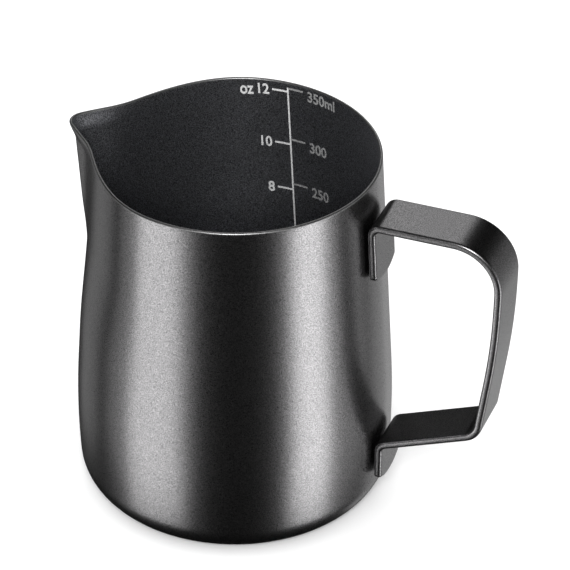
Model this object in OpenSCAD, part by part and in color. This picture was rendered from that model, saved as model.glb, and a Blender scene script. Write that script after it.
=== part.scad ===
// Milk frothing pitcher: a deep-drawn steel cup with a pulled pouring spout,
// and a bent strip handle held on by projection welds.
// The origin is the centre of the resting face, +Z is up,
// the handle points along +X and the spout along -X.

/* [Cup] */
// Height from the resting face to the rim
cup_height = 90.8; // [85:0.1:96]
// Outside radius of the rim
rim_r = 34.5; // [33:0.1:36]
// Outward lean of the straight wall below the rim, in degrees
wall_lean = 3.4; // [3:0.1:3.8]
// Depth of the straight wall below the rim
straight_depth = 58; // [54:1:62]
// Radius of the belly's side profile
belly_r = 210; // [180:5:240]
// Radius of the rounding between the wall and the base
corner_r = 8.25; // [7:0.25:9.5]
// Thickness of the drawn sheet
sheet_t = 0.8; // [0.7:0.05:1]

/* [Spout] */
// Reach of the spout's ridge from the cup's axis at the rim, without the lip
ridge_reach = 40.75; // [39.5:0.05:42]
// How much the ridge comes in for each millimetre of depth
ridge_taper = 0.09; // [0.08:0.01:0.1]
// Radius of the ridge at the rim
ridge_r = 4.15; // [3.5:0.05:5]
// Radius of the ridge at the foot of the spout
ridge_foot_r = 9; // [7:0.5:11]
// Half of the angle between the spout's two side walls
side_angle = 47; // [44:1:50]
// Depth at which the spout has run out into the wall
spout_depth = 48; // [46:1:52]
// How far the wall is drawn in beside the spout
draw_in = 1.3; // [0.8:0.1:1.6]
// How far the lip turns outward at the tip
lip_out = 1.25; // [0.8:0.05:1.6]
// Depth of the turned lip
lip_depth = 4; // [3:0.5:5]

/* [Handle] */
// Width of the handle strip
strip_w = 13.3; // [11:0.1:14]
// Thickness of the handle strip
strip_t = 1.9; // [1.6:0.1:2.2]
// Radius along the strip's edges
strip_edge_r = 0.7; // [0.4:0.05:0.75]
// Depth of the top arm's middle below the rim where it leaves the cup
top_arm_depth = 8.5; // [8:0.1:9]
// Distance from the cup's axis to the top outer corner
top_reach = 67.6; // [66:0.1:69]
// Distance from the cup's axis to the bottom outer corner
bottom_reach = 63.85; // [62.5:0.05:65]
// Depth of the bottom outer corner below the rim
bottom_depth = 60.65; // [60:0.05:61.5]
// Radius of the large bend at the top, at the strip's middle
top_bend_r = 11.2; // [9:0.1:12]
// Radius of the bend at the bottom, at the strip's middle
bottom_bend_r = 5; // [4:0.1:8]
// Radius of the bends where the arms turn into the tabs
tab_bend_r = 2.2; // [1.9:0.1:2.8]
// Radius of the leg's gentle outward bow
leg_bow_r = 180; // [160:10:180]
// Sagitta of each tab's rounded end
tab_crown = 2; // [1.2:0.1:3]

/* [Welds] */
// Gap that the welds leave between the cup and the middle of each tab
weld_gap = 0.3; // [0.3:0.05:0.5]
// Diameter of one weld nugget
weld_d = 3.6; // [3:0.1:4]

/* [Scale] */
// Width of the upright scale line
line_w = 0.42; // [0.3:0.02:0.6]
// Width of the graduation marks
tick_w = 0.5; // [0.3:0.05:0.7]
// Length of the graduation marks
tick_l = 4.1; // [3:0.1:5]
// Sideways lean of the scale line, in degrees
scale_lean = 2.1; // [0:0.1:3]
// Depth of the scale line's lower end below the rim
scale_depth = 54; // [46:1:56]

/* [Hidden] */
$fn = 180;

COAT = "#3a3b3d";
STEEL = "#c9cacb";

// Cup profile: a straight leaning wall, a belly arc and a corner arc down to the flat base
function wall_r(depth) = rim_r + depth * tan(wall_lean);
belly_top_z = cup_height - straight_depth;
belly_mid_z = belly_top_z - belly_r * sin(wall_lean);
belly_mid_x = wall_r(straight_depth) - belly_r * cos(wall_lean);
base_r = belly_mid_x + sqrt(pow(belly_r - corner_r, 2) - pow(belly_mid_z - corner_r, 2));
belly_end = atan2(corner_r - belly_mid_z, base_r - belly_mid_x);
BELLY_STEPS = 8;
CORNER_STEPS = 12;

function arc(cx, cz, r, from, to, steps) =
    [for (i = [0 : steps]) let (a = from + (to - from) * i / steps) [cx + r * cos(a), cz + r * sin(a)]];

// The side of the cup from the given height down to the base, set in from the outside by inset
function cup_side(top_z, inset) = concat(
    [[wall_r(cup_height - top_z) - inset / cos(wall_lean), top_z]],
    arc(belly_mid_x, belly_mid_z, belly_r - inset, wall_lean, belly_end, BELLY_STEPS),
    arc(base_r, corner_r, corner_r - inset, belly_end, -90, CORNER_STEPS));

function reversed(list) = [for (i = [len(list) - 1 : -1 : 0]) list[i]];

// Spout: the plan radius of the wall at an angle from the spout's middle and a depth.
// Angles that bound the spout, the drawn-in wall beside it and its turned lip
SPOUT_HALF = 80;
DIP_MID = 36;
DIP_HALF = 42;
LIP_HALF = 22;
// Depth where the spout starts to run out, and the width of its blend into the wall
FADE_START = 20;
BLEND = 2.4;
// How far the spout's skin stands over the turned wall, and laps onto it at the side and the foot
FACET_LIFT = 0.05;
LAP_ANGLE = 1;
LAP_DEPTH = 0.5;

function smooth_step(x) = let (c = min(1, max(0, x))) c * c * (3 - 2 * c);
function bell(x) = abs(x) < 1 ? pow(cos(90 * x), 2) : 0;
function smooth_max(a, b) = max(a, b) + pow(max(BLEND - abs(a - b), 0), 2) / (4 * BLEND);
function spout_share(depth) = 1 - smooth_step((depth - FADE_START) / (spout_depth - FADE_START));
function ridge_at(depth) = ridge_reach - ridge_taper * depth;
function ridge_r_at(depth) = ridge_r + (ridge_foot_r - ridge_r) * depth / spout_depth;

// Plan radius of the spout's ridge arc and of its straight side wall
function vee_r(angle, depth, inset) =
    let (side_normal = 90 - side_angle,
         centre = ridge_at(depth) - ridge_r_at(depth),
         r = ridge_r_at(depth) - inset,
         arc_end = atan2(r * sin(side_normal), centre + r * cos(side_normal)))
    angle < arc_end
        ? centre * cos(angle) + sqrt(r * r - pow(centre * sin(angle), 2))
        : (centre * cos(side_normal) + r) / cos(side_normal - min(angle, side_normal));

function spout_r(angle, depth, inset) =
    let (a = abs(angle),
         plain = wall_r(depth) - inset / cos(wall_lean),
         drawn = plain - draw_in * bell((a - DIP_MID) / DIP_HALF),
         pulled = smooth_max(vee_r(a, depth, inset), drawn),
         lip = lip_out * smooth_step(1 - depth / lip_depth) * bell(a / LIP_HALF))
    plain + spout_share(depth) * (pulled - plain) + lip;

SPOUT_COLUMNS = 64;
SPOUT_ROWS = concat([for (i = [0 : 5]) lip_depth * i / 5],
                    [for (i = [1 : 10]) lip_depth + (spout_depth - lip_depth) * pow(i / 10, 1.3)]);

function spout_angle(i) = let (u = 2 * i / SPOUT_COLUMNS - 1) SPOUT_HALF * sign(u) * pow(abs(u), 1.4);

function spout_point(i, depth, inset) =
    let (a = spout_angle(i), r = spout_r(a, depth, inset) + (inset > 0 ? -FACET_LIFT : FACET_LIFT))
    [-r * cos(a), -r * sin(a), cup_height - depth];

// The drawn sheet over the spout's share of the wall, as one closed skin
module spout_sheet() {
    rows = len(SPOUT_ROWS);
    cols = SPOUT_COLUMNS + 1;
    side = rows * cols;
    points = [for (inset = [0, sheet_t]) for (depth = SPOUT_ROWS) for (i = [0 : SPOUT_COLUMNS])
        spout_point(i, depth, inset)];
    outside = [for (j = [0 : rows - 2]) for (i = [0 : cols - 2]) let (p = j * cols + i)
        each [[p, p + 1, p + cols + 1], [p, p + cols + 1, p + cols]]];
    inside = [for (f = outside) [f[2] + side, f[1] + side, f[0] + side]];
    rim = [for (i = [0 : cols - 2]) each [[i + 1, i, i + side], [i + 1, i + side, i + 1 + side]]];
    foot_row = (rows - 1) * cols;
    foot = [for (i = [0 : cols - 2]) let (p = foot_row + i)
        each [[p, p + 1, p + side], [p + 1, p + 1 + side, p + side]]];
    start = [for (j = [0 : rows - 2]) let (p = j * cols)
        each [[p, p + cols, p + side], [p + cols, p + cols + side, p + side]]];
    finish = [for (j = [0 : rows - 2]) let (p = j * cols + cols - 1)
        each [[p + cols, p, p + side], [p + cols, p + side, p + cols + side]]];
    polyhedron(points, concat(outside, inside, rim, foot, start, finish), convexity = 6);
}

// The turned cup, before its wall is opened for the spout
module turned_cup() {
    rotate_extrude()
        polygon(concat([[0, 0]], reversed(cup_side(cup_height, 0)),
                       cup_side(cup_height, sheet_t), [[0, sheet_t]]));
}

// The stretch of wall that the spout takes the place of
module spout_cut() {
    half = SPOUT_HALF - LAP_ANGLE;
    rotate([0, 0, 180 - half])
        rotate_extrude(angle = 2 * half)
            translate([rim_r / 2, cup_height - spout_depth + LAP_DEPTH]) square([rim_r, 2 * spout_depth]);
}

module cup_shell() {
    color(COAT) union() {
        difference() {
            turned_cup();
            spout_cut();
        }
        spout_sheet();
    }
}

// The space inside the cup's outer surface, from the base to the rim
module cup_envelope() {
    rotate_extrude($fn = 256) polygon(concat([[0, 0]], reversed(cup_side(cup_height, 0)), [[0, cup_height]]));
}

// Handle: corner points of the strip's middle line, seen from the side, with a bend radius at each
belly_max_r = belly_mid_x + belly_r;
upper_tab_x = wall_r(top_arm_depth) + weld_gap + strip_t / 2;
lower_tab_x = belly_max_r + weld_gap + strip_t / 2;
UPPER_TAB_LENGTH = 16.1;
LOWER_TAB_LENGTH = 11;
// Rise of the top arm to its outer corner, and how far the leg's middle corner stands out of line
TOP_ARM_RISE = 0.33;
BOW_OUT = 1.55;
// Drop of the lower arm for each millimetre that it comes in
LOWER_ARM_SLOPE = 0.4;
top_z = cup_height - top_arm_depth;
leg_top_z = top_z + TOP_ARM_RISE;
leg_foot_z = cup_height - bottom_depth;
lower_arm_z = leg_foot_z - LOWER_ARM_SLOPE * (bottom_reach - lower_tab_x);
HANDLE_LINE = [
    [upper_tab_x + UPPER_TAB_LENGTH * sin(wall_lean), top_z - UPPER_TAB_LENGTH * cos(wall_lean)],
    [upper_tab_x, top_z],
    [top_reach, leg_top_z],
    [(top_reach + bottom_reach) / 2 + BOW_OUT, (leg_top_z + leg_foot_z) / 2],
    [bottom_reach, leg_foot_z],
    [lower_tab_x, lower_arm_z],
    [lower_tab_x, lower_arm_z - LOWER_TAB_LENGTH]];
HANDLE_BENDS = [0, tab_bend_r, top_bend_r, leg_bow_r, bottom_bend_r, tab_bend_r, 0];

function heading(a, b) = atan2(b[1] - a[1], b[0] - a[0]);
function turn_at(i) =
    let (t = heading(HANDLE_LINE[i], HANDLE_LINE[i + 1]) - heading(HANDLE_LINE[i - 1], HANDLE_LINE[i]))
    t > 180 ? t - 360 : t < -180 ? t + 360 : t;
function tangent_length(i) =
    i == 0 || i == len(HANDLE_LINE) - 1 ? 0 : HANDLE_BENDS[i] * tan(abs(turn_at(i)) / 2);
function along(a, b, d) = a + (b - a) * d / norm(b - a);
function run_start(i) = along(HANDLE_LINE[i], HANDLE_LINE[i + 1], tangent_length(i));
function run_end(i) = along(HANDLE_LINE[i + 1], HANDLE_LINE[i], tangent_length(i + 1));

// Each bend is a hair fuller than the straight runs and laps over their ends, so that all join up
BEND_SWELL = 0.02;
BEND_LAP = 0.2;

// Cross-section of the strip, thickness along x and width along y, with rounded edges
module strip_section(swell = 0) {
    half_t = strip_t / 2 - strip_edge_r;
    half_w = strip_w / 2 - strip_edge_r;
    square([strip_t + 2 * swell, 2 * half_w], center = true);
    square([2 * half_t, strip_w + 2 * swell], center = true);
    for (x = [-half_t, half_t])
        for (y = [-half_w, half_w])
            translate([x, y]) circle(strip_edge_r + swell, $fn = 32);
}

module strip_run(i) {
    a = run_start(i);
    b = run_end(i);
    translate([a[0], 0, a[1]])
        rotate([0, 90 - heading(a, b), 0])
            linear_extrude(norm(b - a)) strip_section();
}

module strip_bend(i) {
    side = sign(turn_at(i));
    before = heading(HANDLE_LINE[i - 1], HANDLE_LINE[i]);
    start = run_end(i - 1);
    centre = start + HANDLE_BENDS[i] * side * [-sin(before), cos(before)];
    lap = BEND_LAP / HANDLE_BENDS[i] * 180 / PI;
    first = (side > 0 ? before - 90 : before + 90 + turn_at(i)) - lap;
    translate([centre[0], 0, centre[1]])
        rotate([90, 0, 0]) rotate([0, 0, first])
            rotate_extrude(angle = abs(turn_at(i)) + 2 * lap)
                translate([HANDLE_BENDS[i], 0]) strip_section(BEND_SWELL);
}

// A tab: the strip's end run from its tip to its corner, with the tip cut to a crowned end
module crowned_tab(run, tip, corner) {
    crown_r = (pow(strip_w / 2, 2) + pow(tab_crown, 2)) / (2 * tab_crown);
    reach = norm(corner - tip);
    intersection() {
        strip_run(run);
        translate([tip[0], 0, tip[1]])
            rotate([0, 90 - heading(tip, corner), 0])
                union() {
                    translate([0, 0, crown_r])
                        rotate([0, 90, 0]) cylinder(r = crown_r, h = 3 * strip_t, center = true);
                    translate([0, 0, crown_r + reach / 2])
                        cube([3 * strip_t, 2 * strip_w, reach], center = true);
                }
    }
}

LAST = len(HANDLE_LINE) - 1;

module handle() {
    color(COAT) union() {
        crowned_tab(0, HANDLE_LINE[0], HANDLE_LINE[1]);
        crowned_tab(LAST - 1, HANDLE_LINE[LAST], HANDLE_LINE[LAST - 1]);
        for (i = [1 : LAST - 2]) strip_run(i);
        for (i = [1 : LAST - 1]) strip_bend(i);
    }
}

// Two weld nuggets on a tab's middle line, from the tab's back face to the cup's wall.
// Their places are shares of the way from the tab's tip to its corner.
WELD_SHARES = [0.3, 0.65];
NUGGET_REACH = 3;

module weld_pair(tip, corner) {
    color(STEEL) difference() {
        for (share = WELD_SHARES) {
            middle = tip + (corner - tip) * share;
            translate([middle[0], 0, middle[1]])
                rotate([0, -heading(tip, corner), 0])
                    translate([0, 0, strip_t / 2]) cylinder(d = weld_d, h = NUGGET_REACH);
        }
        cup_envelope();
    }
}

module upper_welds() {
    weld_pair(HANDLE_LINE[0], HANDLE_LINE[1]);
}

module lower_welds() {
    weld_pair(HANDLE_LINE[LAST], HANDLE_LINE[LAST - 1]);
}

// Etched scale on the inner wall, at a right angle to the handle: a line with marks on both sides
FILM = 0.05;
SCALE_TOP = 1.4;
OUNCE_DEPTHS = [2.6, 17.95, 31.4];
MILLILITRE_DEPTHS = [1.65, 16.5, 29.7];

module wall_film() {
    inset = sheet_t / cos(wall_lean);
    rotate_extrude()
        polygon([for (p = [[0, 0], [0, scale_depth + 1], [FILM, scale_depth + 1], [FILM, 0]])
            [wall_r(p[1]) - inset - p[0], cup_height - p[1]]]);
}

module scale_bar(x_from, x_to, depth_from, depth_to) {
    translate([x_from, rim_r / 2, cup_height - depth_to])
        cube([x_to - x_from, rim_r, depth_to - depth_from]);
}

module etched_scale() {
    color(STEEL) intersection() {
        wall_film();
        translate([0, 0, cup_height]) rotate([0, -scale_lean, 0]) translate([0, 0, -cup_height])
            union() {
                scale_bar(-line_w / 2, line_w / 2, SCALE_TOP, scale_depth);
                for (d = OUNCE_DEPTHS) scale_bar(-tick_l, 0, d - tick_w / 2, d + tick_w / 2);
                for (d = MILLILITRE_DEPTHS) scale_bar(0, tick_l, d - tick_w / 2, d + tick_w / 2);
            }
    }
}

cup_shell();
handle();
upper_welds();
lower_welds();
etched_scale();
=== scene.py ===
"""The looks of the milk frothing pitcher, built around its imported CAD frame.

The pitcher's lengths are written in millimetres, as in the part's source, and turned into metres where
a mesh is made. The floor, the lights and the camera are set out in metres.
The spout points along -X and the handle along +X. Angles are in degrees.
"""

import math

import bpy
from mathutils import Matrix, Vector


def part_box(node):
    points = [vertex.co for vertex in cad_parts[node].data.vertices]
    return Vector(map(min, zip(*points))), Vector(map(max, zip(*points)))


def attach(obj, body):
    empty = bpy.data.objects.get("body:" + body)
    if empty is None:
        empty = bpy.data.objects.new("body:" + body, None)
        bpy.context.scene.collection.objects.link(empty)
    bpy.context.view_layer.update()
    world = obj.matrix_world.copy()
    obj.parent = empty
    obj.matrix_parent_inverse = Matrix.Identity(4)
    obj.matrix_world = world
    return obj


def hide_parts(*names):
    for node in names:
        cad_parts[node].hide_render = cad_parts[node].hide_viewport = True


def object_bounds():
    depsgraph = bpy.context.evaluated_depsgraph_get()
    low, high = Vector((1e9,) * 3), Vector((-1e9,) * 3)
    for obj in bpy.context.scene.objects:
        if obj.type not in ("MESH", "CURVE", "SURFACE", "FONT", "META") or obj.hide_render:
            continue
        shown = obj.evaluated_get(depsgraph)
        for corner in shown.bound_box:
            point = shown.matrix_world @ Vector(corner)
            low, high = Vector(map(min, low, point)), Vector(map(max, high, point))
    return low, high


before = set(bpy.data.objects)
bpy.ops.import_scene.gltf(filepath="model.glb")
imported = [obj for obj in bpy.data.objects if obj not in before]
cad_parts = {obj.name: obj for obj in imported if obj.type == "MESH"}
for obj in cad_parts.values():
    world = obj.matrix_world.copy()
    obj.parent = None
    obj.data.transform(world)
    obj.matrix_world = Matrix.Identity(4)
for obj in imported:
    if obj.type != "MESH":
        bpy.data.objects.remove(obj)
cad_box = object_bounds()

MM = 0.001

# ---------------------------------------------------------------- sizes, from the frame

cup_low, cup_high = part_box("cup_shell")
handle_low, handle_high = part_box("handle")

CUP_HEIGHT = (cup_high.z - cup_low.z) / MM
BELLY_MAX_R = cup_high.y / MM
# In the part, the handle's bends are this much fuller than its straight runs
BEND_SWELL = 0.02
STRIP_W = (handle_high.y - handle_low.y) / MM - 2 * BEND_SWELL

# ---------------------------------------------------------------- sizes, as in the part's source

WALL_LEAN = 3.4
STRAIGHT_DEPTH = 58
BELLY_R = 210
CORNER_R = 8.25
SHEET_T = 0.8

RIDGE_REACH = 40.75
RIDGE_TAPER = 0.09
RIDGE_R = 4.15
RIDGE_FOOT_R = 9
SIDE_ANGLE = 47
SPOUT_DEPTH = 48
DRAW_IN = 1.3
LIP_OUT = 1.25
LIP_DEPTH = 4
SPOUT_HALF = 80
FADE_START = 20
BLEND = 2.4
DIP_MID = 36
DIP_HALF = 42
LIP_HALF = 22

STRIP_T = 1.9
STRIP_EDGE_R = 0.7
TOP_ARM_DEPTH = 8.5
TOP_ARM_RISE = 0.33
TOP_REACH = 67.6
BOTTOM_REACH = 63.85
BOTTOM_DEPTH = 60.65
BOW_OUT = 1.55
LOWER_ARM_SLOPE = 0.4
UPPER_TAB_LENGTH = 16.1
LOWER_TAB_LENGTH = 11
TAB_CROWN = 2
TAB_BEND_R = 2.2
TOP_BEND_R = 11.2
LEG_BOW_R = 180
BOTTOM_BEND_R = 5
WELD_GAP = 0.3

SCALE_TOP = 1.4
SCALE_DEPTH = 54
SCALE_LEAN = 2.1
LINE_W = 0.42
TICK_W = 0.5
TICK_L = 4.1
OUNCE_MARKS = [(2.6, "12"), (17.95, "10"), (31.4, "8")]
MILLILITRE_MARKS = [(1.65, "350ml"), (16.5, "300"), (29.7, "250")]


def sin(angle):
    return math.sin(math.radians(angle))


def cos(angle):
    return math.cos(math.radians(angle))


def tan(angle):
    return math.tan(math.radians(angle))


def atan2(y, x):
    return math.degrees(math.atan2(y, x))


# ---------------------------------------------------------------- mesh helpers


def make_piece(name, points, faces, materials, replaced, face_material=None):
    """A smooth mesh piece from points in millimetres, riding on the part's one body."""
    mesh = bpy.data.meshes.new(name)
    mesh.from_pydata([[c * MM for c in p] for p in points], [], faces)
    for material in materials:
        mesh.materials.append(material)
    for i, polygon in enumerate(mesh.polygons):
        polygon.use_smooth = True
        polygon.material_index = face_material[i] if face_material else 0
    mesh.update()
    piece = bpy.data.objects.new(name, mesh)
    bpy.context.scene.collection.objects.link(piece)
    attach(piece, "root")
    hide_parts(replaced)
    return piece


def spread(start, stop, steps, power=1.0):
    """steps + 1 numbers from start to stop, closer together at the start where power is over 1."""
    return [start + (stop - start) * (i / steps) ** power for i in range(steps + 1)]


# ---------------------------------------------------------------- shape of the cup

BELLY_MID_X = BELLY_MAX_R - BELLY_R
RIM_R = BELLY_MID_X + BELLY_R * cos(WALL_LEAN) - STRAIGHT_DEPTH * tan(WALL_LEAN)
BELLY_MID_Z = CUP_HEIGHT - STRAIGHT_DEPTH - BELLY_R * sin(WALL_LEAN)
BASE_R = BELLY_MID_X + math.sqrt((BELLY_R - CORNER_R) ** 2 - (BELLY_MID_Z - CORNER_R) ** 2)
BELLY_END = atan2(CORNER_R - BELLY_MID_Z, BASE_R - BELLY_MID_X)

RIM_ROUND = 0.4
RIM_STEPS = 8
LIP_STEPS = 8
WALL_STEPS = 30
BELLY_STEPS = 16
CORNER_STEPS = 14
BASE_STEPS = 5
SPOUT_COLUMNS = 120
WALL_COLUMNS = 100
SPOUT_CROWDING = 1.4

WALL_DEPTHS = spread(RIM_ROUND, LIP_DEPTH, LIP_STEPS) + spread(LIP_DEPTH, STRAIGHT_DEPTH, WALL_STEPS)[1:]


def wall_r(depth):
    return RIM_R + depth * tan(WALL_LEAN)


def smooth_step(x):
    c = min(1, max(0, x))
    return c * c * (3 - 2 * c)


def bell(x):
    return cos(90 * x) ** 2 if abs(x) < 1 else 0


def smooth_max(a, b):
    return max(a, b) + max(BLEND - abs(a - b), 0) ** 2 / (4 * BLEND)


def vee_r(angle, depth, inset):
    """Plan radius of the spout's ridge arc and of its straight side wall."""
    side_normal = 90 - SIDE_ANGLE
    ridge_r_at = RIDGE_R + (RIDGE_FOOT_R - RIDGE_R) * depth / SPOUT_DEPTH
    centre = RIDGE_REACH - RIDGE_TAPER * depth - ridge_r_at
    r = ridge_r_at - inset
    arc_end = atan2(r * sin(side_normal), centre + r * cos(side_normal))
    if angle < arc_end:
        return centre * cos(angle) + math.sqrt(r * r - (centre * sin(angle)) ** 2)
    return (centre * cos(side_normal) + r) / cos(side_normal - min(angle, side_normal))


def cup_r(angle, depth, inset):
    """Plan radius of the wall, at an angle from the spout's middle and a depth below the rim."""
    a = abs(angle)
    plain = wall_r(depth) - inset / cos(WALL_LEAN)
    if a > SPOUT_HALF or depth > SPOUT_DEPTH:
        return plain
    share = 1 - smooth_step((depth - FADE_START) / (SPOUT_DEPTH - FADE_START))
    drawn = plain - DRAW_IN * bell((a - DIP_MID) / DIP_HALF)
    pulled = smooth_max(vee_r(a, depth, inset), drawn)
    lip = LIP_OUT * smooth_step(1 - depth / LIP_DEPTH) * bell(a / LIP_HALF)
    return plain + share * (pulled - plain) + lip


def arc(centre_x, centre_z, r, start, stop, steps):
    return [(centre_x + r * cos(a), centre_z + r * sin(a)) for a in spread(start, stop, steps)[1:]]


def side_profile(angle, inset):
    """Radius and height of points from below the rim to the base's middle, inset from the outside."""
    wall = [(cup_r(angle, depth, inset), CUP_HEIGHT - depth) for depth in WALL_DEPTHS]
    belly = arc(BELLY_MID_X, BELLY_MID_Z, BELLY_R - inset, WALL_LEAN, BELLY_END, BELLY_STEPS)
    corner = arc(BASE_R, CORNER_R, CORNER_R - inset, BELLY_END, -90, CORNER_STEPS)
    base = [(r, inset) for r in spread(BASE_R, 0, BASE_STEPS)[1:-1]]
    return wall + belly + corner + base


def rim_profile(angle):
    """Radius and height of points over the rounded rim, from the outside to the inside."""
    turns = spread(0, 180, RIM_STEPS)[1:-1]
    rows = [(SHEET_T * (1 - cos(t)) / 2, RIM_ROUND * (1 - sin(t))) for t in turns]
    return [(cup_r(angle, depth, inset), CUP_HEIGHT - depth) for inset, depth in rows]


def cup_columns():
    """Angles from the spout's middle, crowded together at the ridge."""
    half = SPOUT_COLUMNS // 2
    right = [SPOUT_HALF * (i / half) ** SPOUT_CROWDING for i in range(1, half + 1)]
    back = spread(SPOUT_HALF, 360 - SPOUT_HALF, WALL_COLUMNS)[1:-1]
    return [0] + right + back + [360 - a for a in reversed(right)]


def build_cup(outer_coat, rim_coat, inner_coat):
    points = []
    columns = cup_columns()
    for angle in columns:
        signed = angle if angle <= 180 else angle - 360
        outside = side_profile(signed, 0)
        inside = side_profile(signed, SHEET_T)
        for r, z in list(reversed(outside)) + rim_profile(signed) + inside:
            points.append((-r * cos(angle), -r * sin(angle), z))
    rows = len(points) // len(columns)
    rim_start = len(outside) - 1
    rim_stop = rim_start + RIM_STEPS
    faces = []
    looks = []
    for i in range(len(columns)):
        here = i * rows
        following = (i + 1) % len(columns) * rows
        for j in range(rows - 1):
            faces.append((here + j, here + j + 1, following + j + 1, following + j))
            looks.append(0 if j < rim_start else 1 if j < rim_stop else 2)
    for row, look in ((0, 0), (rows - 1, 2)):
        middle = len(points)
        points.append((0, 0, points[row][2]))
        for i in range(len(columns)):
            here = i * rows + row
            following = (i + 1) % len(columns) * rows + row
            faces.append((middle, here, following) if look == 0 else (middle, following, here))
            looks.append(look)
    make_piece("cup", points, faces, [outer_coat, rim_coat, inner_coat], "cup_shell", looks)


# ---------------------------------------------------------------- shape of the handle

UPPER_TAB_X = wall_r(TOP_ARM_DEPTH) + WELD_GAP + STRIP_T / 2
LOWER_TAB_X = BELLY_MAX_R + WELD_GAP + STRIP_T / 2
TOP_Z = CUP_HEIGHT - TOP_ARM_DEPTH
LEG_TOP_Z = TOP_Z + TOP_ARM_RISE
LEG_FOOT_Z = CUP_HEIGHT - BOTTOM_DEPTH
LOWER_ARM_Z = LEG_FOOT_Z - LOWER_ARM_SLOPE * (BOTTOM_REACH - LOWER_TAB_X)

# Corner points of the strip's middle line in the XZ plane, each with its bend radius
HANDLE_LINE = [
    (UPPER_TAB_X + UPPER_TAB_LENGTH * sin(WALL_LEAN), TOP_Z - UPPER_TAB_LENGTH * cos(WALL_LEAN), 0),
    (UPPER_TAB_X, TOP_Z, TAB_BEND_R),
    (TOP_REACH, LEG_TOP_Z, TOP_BEND_R),
    ((TOP_REACH + BOTTOM_REACH) / 2 + BOW_OUT, (LEG_TOP_Z + LEG_FOOT_Z) / 2, LEG_BOW_R),
    (BOTTOM_REACH, LEG_FOOT_Z, BOTTOM_BEND_R),
    (LOWER_TAB_X, LOWER_ARM_Z, TAB_BEND_R),
    (LOWER_TAB_X, LOWER_ARM_Z - LOWER_TAB_LENGTH, 0),
]

TAB_CORNER_R = 1.0
EDGE_STEPS = 5
EDGE_MARGIN = 0.2
BEND_STEPS = 16
RUN_STEPS = 4
CROWN_STEPS = 10
CORNER_TURN_STEPS = 5


def handle_runs():
    """The middle line as pieces: start point, heading, length and turn, which is 0 on a straight run."""
    points = [Vector((x, z)) for x, z, r in HANDLE_LINE]
    headings = [atan2((b - a).y, (b - a).x) for a, b in zip(points, points[1:])]
    turns = [0] + [(b - a + 180) % 360 - 180 for a, b in zip(headings, headings[1:])] + [0]
    cuts = [r * tan(abs(turn) / 2) for (x, z, r), turn in zip(HANDLE_LINE, turns)]
    runs = []
    for i, heading in enumerate(headings):
        along = Vector((cos(heading), sin(heading)))
        start = points[i] + cuts[i] * along
        length = (points[i + 1] - points[i]).length - cuts[i] - cuts[i + 1]
        runs.append((start, heading, length, 0))
        if cuts[i + 1]:
            bend_length = HANDLE_LINE[i + 1][2] * math.radians(abs(turns[i + 1]))
            runs.append((start + length * along, heading, bend_length, turns[i + 1]))
    return runs


HANDLE_RUNS = handle_runs()
HANDLE_LENGTH = sum(length for start, heading, length, turn in HANDLE_RUNS)


def strip_point(distance, across, lift):
    """A point of the strip: distance along its middle line, across its width, lifted to its outer face."""
    for start, heading, length, turn in HANDLE_RUNS:
        if distance <= length:
            break
        distance -= length
    direction = heading + turn * distance / length
    if turn:
        r = length / math.radians(turn)
        x = start.x + r * (sin(direction) - sin(heading))
        z = start.y - r * (cos(direction) - cos(heading))
    else:
        x = start.x + distance * cos(heading)
        z = start.y + distance * sin(heading)
    return (x - lift * sin(direction), across, z + lift * cos(direction))


def strip_outline():
    """One side of the flat strip's outline, tip to tip: distance, half width and the outward angle."""
    half_w = STRIP_W / 2
    crown_r = (half_w ** 2 + TAB_CROWN ** 2) / (2 * TAB_CROWN)
    corner_y = half_w - TAB_CORNER_R
    corner_x = crown_r - math.sqrt((crown_r - TAB_CORNER_R) ** 2 - corner_y ** 2)
    crown_end = atan2(corner_y, corner_x - crown_r)
    tip = [(crown_r + crown_r * cos(a), crown_r * sin(a), a) for a in spread(180, crown_end, CROWN_STEPS)]
    for a in spread(crown_end, 90, CORNER_TURN_STEPS)[1:]:
        tip.append((corner_x + TAB_CORNER_R * cos(a), corner_y + TAB_CORNER_R * sin(a), a))
    side = []
    passed = 0
    for start, heading, length, turn in HANDLE_RUNS:
        steps = BEND_STEPS if turn else RUN_STEPS
        side += [passed + d for d in spread(0, length, steps)[1:]]
        passed += length
    side = [(d, half_w, 90) for d in side if corner_x < d < HANDLE_LENGTH - corner_x]
    return tip + side + [(HANDLE_LENGTH - d, y, 180 - a) for d, y, a in reversed(tip)]


def strip_rings():
    """Inset and lift of each ring round the strip, from its back face to its outer face."""
    turn = spread(0, 90, EDGE_STEPS)
    flat = STRIP_T / 2 - STRIP_EDGE_R
    front = [(STRIP_EDGE_R * (1 - cos(t)), flat + STRIP_EDGE_R * sin(t)) for t in turn]
    front.append((STRIP_EDGE_R + EDGE_MARGIN, STRIP_T / 2))
    return [(inset, -lift) for inset, lift in reversed(front)] + front


def build_handle(coat):
    outline = strip_outline()
    last = len(outline) - 1
    ring_points = outline + [(d, -y, -a) for d, y, a in reversed(outline[1:last])]
    count = len(ring_points)
    points = []
    for inset, lift in strip_rings():
        for d, y, a in ring_points:
            points.append(strip_point(d - inset * cos(a), y - inset * sin(a), lift))
    faces = []
    ring_count = len(points) // count
    for j in range(ring_count - 1):
        for i in range(count):
            here = j * count
            following = (i + 1) % count
            faces.append((here + i, here + following, here + count + following, here + count + i))
    for ring, front in ((0, False), (ring_count - 1, True)):
        first = ring * count
        for i in range(last):
            across = [i, i + 1, (count - i - 1) % count, (count - i) % count]
            corners = [first + corner for corner in dict.fromkeys(across)]
            faces.append(tuple(corners) if front else tuple(reversed(corners)))
    make_piece("handle_strip", points, faces, [coat], "handle")


# ---------------------------------------------------------------- etched scale on the inner wall

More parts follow.
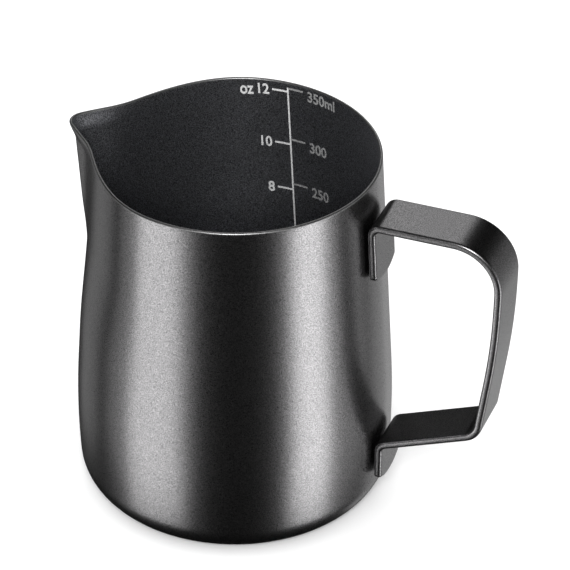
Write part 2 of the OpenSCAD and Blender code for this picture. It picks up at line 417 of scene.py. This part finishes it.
ETCH_TOP = 0.03
ETCH_BOTTOM = -0.02
LINE_SECTIONS = 40
TICK_SECTIONS = 8
DIGIT_HEIGHT = 3.0
DIGIT_PITCH = 1.72
OUNCE_GAP = 0.8
MILLILITRE_GAP = 1.25
UNIT_GAP = 0.45
UNIT_STRETCH = 1.2
LABEL_DROP = 0.8
STROKE_SWELL = 0.02
# Half the thickness of the font's mesh, which makes it 1 thick in all
GLYPH_HALF_T = 0.5
GLYPH_CURVE_STEPS = 5


def on_wall(x, depth, lift):
    """A point on the inner wall at +Y: x along the wall towards the handle, before the scale's lean."""
    leaned = x + (depth - SCALE_TOP) * tan(SCALE_LEAN)
    angle = math.degrees(leaned / wall_r(depth))
    r = cup_r(90 + angle, depth, SHEET_T + lift)
    return (r * sin(angle), r * cos(angle), CUP_HEIGHT - depth)


def etched_bar(x_from, x_to, depth_from, depth_to, sections, upright):
    """A thin closed bar that follows the wall, cut into sections along its length."""
    points = []
    for share in spread(0, 1, sections):
        x = x_from + (x_to - x_from) * share
        depth = depth_from + (depth_to - depth_from) * share
        ends = ((x_from, depth), (x_to, depth)) if upright else ((x, depth_to), (x, depth_from))
        for lift in (ETCH_TOP, ETCH_BOTTOM):
            points += [on_wall(end_x, end_depth, lift) for end_x, end_depth in ends]
    faces = [(0, 1, 3, 2)]
    for i in range(sections):
        p = 4 * i
        for a, b in ((0, 1), (1, 3), (3, 2), (2, 0)):
            faces.append((p + b, p + a, p + a + 4, p + b + 4))
    p = 4 * sections
    faces.append((p + 2, p + 3, p + 1, p))
    return points, faces


def joined(parts):
    points = []
    faces = []
    for part_points, part_faces in parts:
        first = len(points)
        points += part_points
        faces += [tuple(first + i for i in face) for face in part_faces]
    return points, faces


def ticks(marks, side):
    bars = []
    for depth, label in marks:
        x_from, x_to = sorted((0, side * TICK_L))
        bars.append(etched_bar(x_from, x_to, depth - TICK_W / 2, depth + TICK_W / 2, TICK_SECTIONS, False))
    return joined(bars)


def glyphs(text):
    """The text as a flat mesh with a thickness, in the font's own units."""
    curve = bpy.data.curves.new("glyphs", "FONT")
    curve.body = text
    curve.extrude = GLYPH_HALF_T
    curve.offset = STROKE_SWELL
    curve.resolution_u = GLYPH_CURVE_STEPS
    sample = bpy.data.objects.new("glyphs", curve)
    bpy.context.scene.collection.objects.link(sample)
    bpy.context.view_layer.update()
    mesh = sample.evaluated_get(bpy.context.evaluated_depsgraph_get()).to_mesh()
    points = [v.co.copy() for v in mesh.vertices]
    faces = [tuple(p.vertices) for p in mesh.polygons]
    bpy.data.objects.remove(sample)
    return points, faces


def label(text, depth, x, towards, stretch=1.0):
    """Text on the wall, beside the given x on the side that towards says.
    Numerals are centred on the depth."""
    zero = glyphs("0")[0]
    pair = glyphs("00")[0]
    high = max(p.y for p in zero) - min(p.y for p in zero)
    pitch = max(p.x for p in pair) - max(p.x for p in zero)
    points, faces = glyphs(text)
    low = min(p.x for p in points)
    width = (max(p.x for p in points) - low) * DIGIT_PITCH / pitch
    start = x if towards > 0 else x - width
    etch = ETCH_TOP - ETCH_BOTTOM
    placed = []
    for p in points:
        along = start + (p.x - low) * DIGIT_PITCH / pitch
        down = depth + DIGIT_HEIGHT / 2 - p.y * stretch * DIGIT_HEIGHT / high
        placed.append(on_wall(along, down, ETCH_BOTTOM + etch * (p.z + GLYPH_HALF_T)))
    return placed, faces


def build_scale(bright, painted_shade_etch):
    """The millilitre side is fainter than the line and the ounce side, as in the photograph: its marks get a
    darker copy of the etched material, which is painted shade.
    """
    line = etched_bar(-LINE_W / 2, LINE_W / 2, SCALE_TOP, SCALE_DEPTH, LINE_SECTIONS, True)
    ounce_x = -TICK_L - OUNCE_GAP
    top_depth, top_text = OUNCE_MARKS[0]
    unit_x = ounce_x - len(top_text) * DIGIT_PITCH - UNIT_GAP
    unit_depth = top_depth + LABEL_DROP / 2
    millilitre_x = TICK_L + MILLILITRE_GAP
    ounces = [label(text, depth, ounce_x, -1) for depth, text in OUNCE_MARKS]
    ounces.append(label("oz", unit_depth, unit_x, -1, UNIT_STRETCH))
    millilitres = [label(text, depth + LABEL_DROP, millilitre_x, 1) for depth, text in MILLILITRE_MARKS]
    shapes = {
        "scale_line": line,
        "ounce_marks": ticks(OUNCE_MARKS, -1),
        "millilitre_marks": ticks(MILLILITRE_MARKS, 1),
        "ounce_numerals": joined(ounces),
        "millilitre_numerals": joined(millilitres),
    }
    for name, (points, faces) in shapes.items():
        # The millilitre pieces take the darker copy of the etch, painted shade
        etched = painted_shade_etch if name.startswith("millilitre") else bright
        piece = make_piece(name, points, faces, [etched], "etched_scale")
        for polygon in piece.data.polygons:
            polygon.use_smooth = False


# ---------------------------------------------------------------- materials


def new_material(name):
    material = bpy.data.materials.new(name)
    material.use_nodes = True
    tree = material.node_tree
    shader = tree.nodes["Principled BSDF"]
    place = tree.nodes.new("ShaderNodeTexCoord").outputs["Object"]
    return material, tree, shader, place


def noise(tree, place, size_mm, detail):
    """A noise texture whose grains are about size_mm across."""
    node = tree.nodes.new("ShaderNodeTexNoise")
    node.inputs["Scale"].default_value = 1 / (size_mm * MM)
    node.inputs["Detail"].default_value = detail
    tree.links.new(place, node.inputs["Vector"])
    return node.outputs["Fac"]


def ranged(tree, value, low, high, out_low, out_high):
    """value between low and high, stretched to run from out_low to out_high."""
    node = tree.nodes.new("ShaderNodeMapRange")
    tree.links.new(value, node.inputs["Value"])
    for socket, number in (("From Min", low), ("From Max", high), ("To Min", out_low), ("To Max", out_high)):
        node.inputs[socket].default_value = number
    return node.outputs["Result"]


def mixed(tree, share, dark, light):
    """A colour between dark and light by share."""
    node = tree.nodes.new("ShaderNodeMix")
    node.data_type = "RGBA"
    tree.links.new(share, node.inputs["Factor"])
    node.inputs["A"].default_value = (*dark, 1)
    node.inputs["B"].default_value = (*light, 1)
    return node.outputs["Result"]


def bumped(tree, height, shader, depth_mm):
    node = tree.nodes.new("ShaderNodeBump")
    node.inputs["Distance"].default_value = depth_mm * MM
    tree.links.new(height, node.inputs["Height"])
    tree.links.new(node.outputs["Normal"], shader.inputs["Normal"])


# Noise levels between which the flakes show
FLAKE_LOW = 0.38
FLAKE_HIGH = 0.66
# Noise levels between which the roughness swings, and how far it goes to either side
GLOSS_LOW = 0.3
GLOSS_HIGH = 0.7
GLOSS_SWING = 0.02

COAT_GROUND = (0.13, 0.13, 0.132)
COAT_FLAKES = (0.38, 0.372, 0.378)
INNER_GROUND = (0.16, 0.162, 0.174)
INNER_FLAKES = (0.66, 0.67, 0.71)


def grey(level):
    return (level, level, level)


def pearl_coat(name, dark, light, metallic, roughness, grain_mm, depth_mm):
    """Fine metallic coat: bright flakes in a dark ground, with a slightly uneven gloss."""
    material, tree, shader, place = new_material(name)
    grain = noise(tree, place, grain_mm, 2)
    flakes = ranged(tree, grain, FLAKE_LOW, FLAKE_HIGH, 0, 1)
    tree.links.new(mixed(tree, flakes, dark, light), shader.inputs["Base Color"])
    unevenness = noise(tree, place, 2 * grain_mm, 1)
    shiny = roughness - GLOSS_SWING
    dull = roughness + GLOSS_SWING
    gloss = ranged(tree, unevenness, GLOSS_LOW, GLOSS_HIGH, shiny, dull)
    tree.links.new(gloss, shader.inputs["Roughness"])
    bumped(tree, grain, shader, depth_mm)
    shader.inputs["Metallic"].default_value = metallic
    return material


outer_coat = pearl_coat("outer_coat", COAT_GROUND, COAT_FLAKES, 1.0, 0.29, 0.2, 0.0012)
handle_coat = pearl_coat("handle_coat", COAT_GROUND, COAT_FLAKES, 1.0, 0.33, 0.2, 0.0012)
rim_coat = pearl_coat("rim_coat", grey(0.28), grey(0.5), 1.0, 0.42, 0.22, 0.001)
inner_coat = pearl_coat("inner_coat", INNER_GROUND, INNER_FLAKES, 1.0, 0.48, 0.25, 0.002)
etched_bright = pearl_coat("etched_bright", grey(0.5), grey(0.75), 0.0, 0.6, 0.3, 0.002)
# A darker copy of the etched material for the millilitre side: painted shade, since the etch itself is the
# same
etched_painted_shade = pearl_coat("etched_painted_shade", grey(0.18), grey(0.3), 0.0, 0.6, 0.3, 0.002)
weld_steel = pearl_coat("weld_steel", grey(0.1), grey(0.2), 1.0, 0.5, 0.5, 0.01)


def build_welds(steel):
    for name in ("upper_welds", "lower_welds"):
        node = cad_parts[name]
        node.data.materials.clear()
        node.data.materials.append(steel)


build_cup(outer_coat, rim_coat, inner_coat)
build_handle(handle_coat)
build_scale(etched_bright, etched_painted_shade)
build_welds(weld_steel)

# ---------------------------------------------------------------- floor, light and camera

FLOOR_HALF = 6.0
CAMERA_AZIMUTH = 22.0
CAMERA_ELEVATION = 34.85
CAMERA_IN_RIM_RADII = 24
CAMERA_DISTANCE = CAMERA_IN_RIM_RADII * RIM_R * MM
LENS = 217.4
AIM_RIGHT = 0.012
AIM_UP = 0.006
WHITE = (1, 1, 1, 1)

# Height of the point on the cup's axis that the camera and the lights are set out round
FOCUS_HEIGHT = 45.95 * MM
SKY_STRENGTH = 1.3
FLOOR_WHITE = (0.9, 0.9, 0.9, 1)

# Soft boxes round the cup: name, turn from the camera's side, elevation, distance, width, height, radiance
SOFT_BOXES = [
    ("left_box", -59, -25, 0.6, 0.38, 0.44, 1.95),
    ("left_glow", -66, -12, 0.65, 0.85, 0.75, 0.4),
    ("right_box", 55, -25, 0.6, 0.25, 0.44, 2.8),
    ("right_glow", 72, -12, 0.65, 0.85, 0.75, 0.5),
    ("left_rim_box", -130, -12, 0.6, 0.3, 0.6, 0.35),
    ("right_rim_box", 130, -22, 0.6, 0.3, 0.8, 0.5),
    ("back_box", 155, -20, 0.6, 0.25, 0.5, 0.5),
    ("top_box", 175, 42, 0.6, 0.3, 0.34, 1.1),
    ("inside_lamp", -2, 36, 0.6, 0.15, 0.15, 30),
]

focus = Vector((0, 0, FOCUS_HEIGHT))


def outward(azimuth, elevation):
    """Unit vector from the focus towards a place round it. Azimuth 0 is on the -Y side."""
    level = cos(elevation)
    return Vector((sin(azimuth) * level, -cos(azimuth) * level, sin(elevation)))


def build_floor():
    """A white floor that casts no shadow and isn't mirrored in the steel, as boxes under it light the cup."""
    mesh = bpy.data.meshes.new("floor")
    corners = [(-1, -1), (1, -1), (1, 1), (-1, 1)]
    mesh.from_pydata([(FLOOR_HALF * x, FLOOR_HALF * y, cad_box[0].z) for x, y in corners], [], [(0, 1, 2, 3)])
    material = bpy.data.materials.new("floor_white")
    material.use_nodes = True
    shader = material.node_tree.nodes["Principled BSDF"]
    shader.inputs["Base Color"].default_value = FLOOR_WHITE
    shader.inputs["Roughness"].default_value = 1
    shader.inputs["Specular IOR Level"].default_value = 0
    mesh.materials.append(material)
    floor = bpy.data.objects.new("floor", mesh)
    bpy.context.scene.collection.objects.link(floor)
    floor.visible_glossy = False
    floor.visible_shadow = False


def build_sky():
    """A white sky for the background, the floor and the etched marks. The steel doesn't mirror it."""
    world = bpy.data.worlds.new("studio")
    bpy.context.scene.world = world
    world.use_nodes = True
    world.node_tree.nodes["Background"].inputs["Color"].default_value = WHITE
    world.node_tree.nodes["Background"].inputs["Strength"].default_value = SKY_STRENGTH
    world.cycles_visibility.glossy = False


def soft_panel(name, azimuth, elevation, distance, width, height, radiance):
    """A soft box that faces the focus. Radiance is its brightness as seen."""
    light = bpy.data.lights.new(name, "AREA")
    light.shape = "RECTANGLE"
    light.size = width
    light.size_y = height
    light.energy = radiance * math.pi * width * height
    lamp = bpy.data.objects.new(name, light)
    bpy.context.scene.collection.objects.link(lamp)
    away = outward(azimuth, elevation)
    lamp.location = focus + away * distance
    lamp.rotation_mode = "QUATERNION"
    lamp.rotation_quaternion = away.to_track_quat("Z", "Y")
    lamp.visible_camera = False


def build_lights():
    """The upright wall mirrors what lies below the camera's level, so the boxes that light it
    reach under the floor, which casts no shadow. One small lamp shines into the cup."""
    for name, turn, elevation, distance, width, height, radiance in SOFT_BOXES:
        soft_panel(name, CAMERA_AZIMUTH + turn, elevation, distance, width, height, radiance)


def build_camera():
    """The camera stands in an upright plane through the cup's axis. It is turned a little off that
    plane, so that the handle fits in the picture, and rolled so that the cup stays upright in it."""
    data = bpy.data.cameras.new("camera")
    camera = bpy.data.objects.new("camera", data)
    bpy.context.scene.collection.objects.link(camera)
    back = outward(CAMERA_AZIMUTH, CAMERA_ELEVATION)
    level = Vector((cos(CAMERA_AZIMUTH), sin(CAMERA_AZIMUTH), 0))
    place = focus + back * CAMERA_DISTANCE
    aim = focus + AIM_RIGHT * level + AIM_UP * back.cross(level)
    forward = (aim - place).normalized()
    up = level.cross(forward).normalized()
    right = forward.cross(up)
    camera.matrix_world = Matrix.Translation(place) @ Matrix((right, up, -forward)).transposed().to_4x4()
    data.lens = LENS
    data.clip_start = 0.05
    data.clip_end = 50
    bpy.context.scene.camera = camera


build_floor()
build_sky()
build_lights()
build_camera()
bpy.context.scene.view_settings.view_transform = "Standard"
